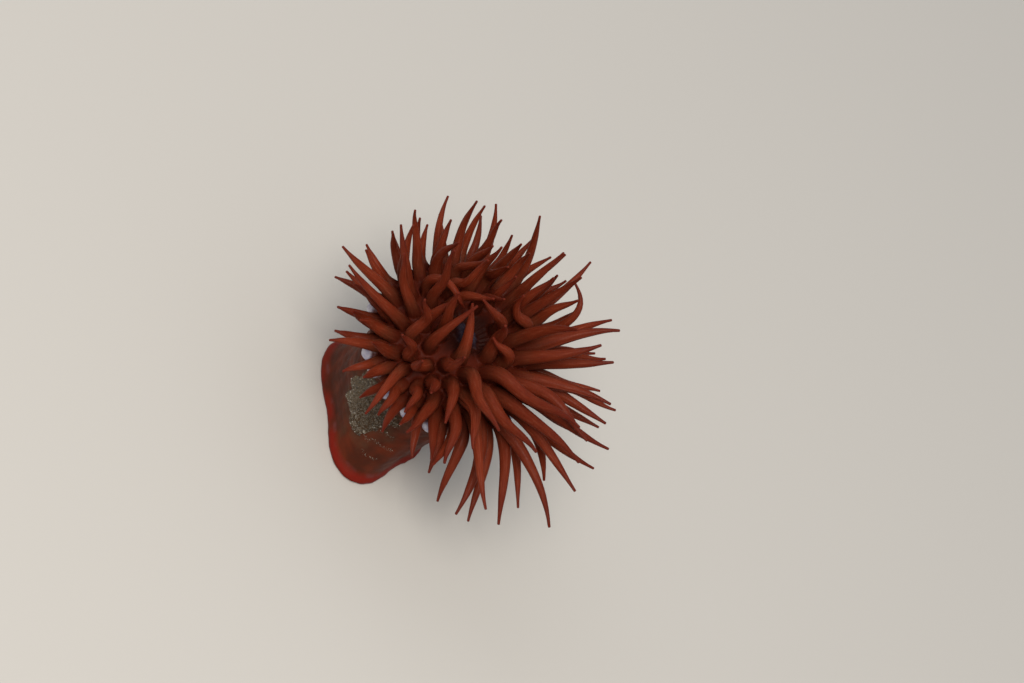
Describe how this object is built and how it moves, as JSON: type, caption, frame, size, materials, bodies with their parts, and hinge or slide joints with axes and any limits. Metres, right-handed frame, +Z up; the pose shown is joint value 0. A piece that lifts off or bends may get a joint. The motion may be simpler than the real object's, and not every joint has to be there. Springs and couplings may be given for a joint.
{
  "type": "beadlet anemone",
  "caption": "open beadlet anemone, a small brown-red sea anemone with a round foot, a short column and a wide crown of tapering tentacles, as a still life-size model",
  "frame": {"origin": "centre of the foot's flat underside, on the floor", "axes": "+Z up out of the mouth's side, X to the right and Y away from a viewer at azimuth 0, whose side the crown tips towards"},
  "size_m": [0.0522, 0.0443, 0.0441],
  "materials": {
    "foot_flesh": "wet, glossy flesh, brighter red and slightly see-through towards its edge",
    "column_flesh": "wet, glossy dark brown-red skin with fine wrinkles",
    "tentacle_flesh": "wet brown-red flesh, paler and greyer at the roots of the tentacles",
    "disc_flesh": "wet dark red skin with fine lines running out from the mouth",
    "bead_flesh": "wet, glossy pale blue-white flesh",
    "stuck_sand": "fine wet grey-brown sand held in slime"
  },
  "bodies": {
    "root": {"foot": "foot_flesh", "column": "column_flesh", "collar": "column_flesh", "oral_disc": "disc_flesh", "mouth": "disc_flesh", "inner_tentacles_01": "tentacle_flesh", "inner_tentacles_02": "tentacle_flesh", "inner_tentacles_03": "tentacle_flesh", "inner_tentacles_04": "tentacle_flesh", "inner_tentacles_05": "tentacle_flesh", "inner_tentacles_06": "tentacle_flesh", "third_cycle_01": "tentacle_flesh", "third_cycle_02": "tentacle_flesh", "third_cycle_03": "tentacle_flesh", "third_cycle_04": "tentacle_flesh", "third_cycle_05": "tentacle_flesh", "third_cycle_06": "tentacle_flesh", "fourth_cycle_01": "tentacle_flesh", "fourth_cycle_02": "tentacle_flesh", "fourth_cycle_03": "tentacle_flesh", "fourth_cycle_04": "tentacle_flesh", "fourth_cycle_05": "tentacle_flesh", "fourth_cycle_06": "tentacle_flesh", "fourth_cycle_07": "tentacle_flesh", "fourth_cycle_08": "tentacle_flesh", "fourth_cycle_09": "tentacle_flesh", "fourth_cycle_10": "tentacle_flesh", "fourth_cycle_11": "tentacle_flesh", "fourth_cycle_12": "tentacle_flesh", "fifth_cycle_01": "tentacle_flesh", "fifth_cycle_02": "tentacle_flesh", "fifth_cycle_03": "tentacle_flesh", "fifth_cycle_04": "tentacle_flesh", "fifth_cycle_05": "tentacle_flesh", "fifth_cycle_06": "tentacle_flesh", "fifth_cycle_07": "tentacle_flesh", "fifth_cycle_08": "tentacle_flesh", "fifth_cycle_09": "tentacle_flesh", "fifth_cycle_10": "tentacle_flesh", "fifth_cycle_11": "tentacle_flesh", "fifth_cycle_12": "tentacle_flesh", "outer_cycle_01": "tentacle_flesh", "outer_cycle_02": "tentacle_flesh", "outer_cycle_03": "tentacle_flesh", "outer_cycle_04": "tentacle_flesh", "outer_cycle_05": "tentacle_flesh", "outer_cycle_06": "tentacle_flesh", "outer_cycle_07": "tentacle_flesh", "outer_cycle_08": "tentacle_flesh", "outer_cycle_09": "tentacle_flesh", "outer_cycle_10": "tentacle_flesh", "outer_cycle_11": "tentacle_flesh", "outer_cycle_12": "tentacle_flesh"}
  },
  "joints": []
}
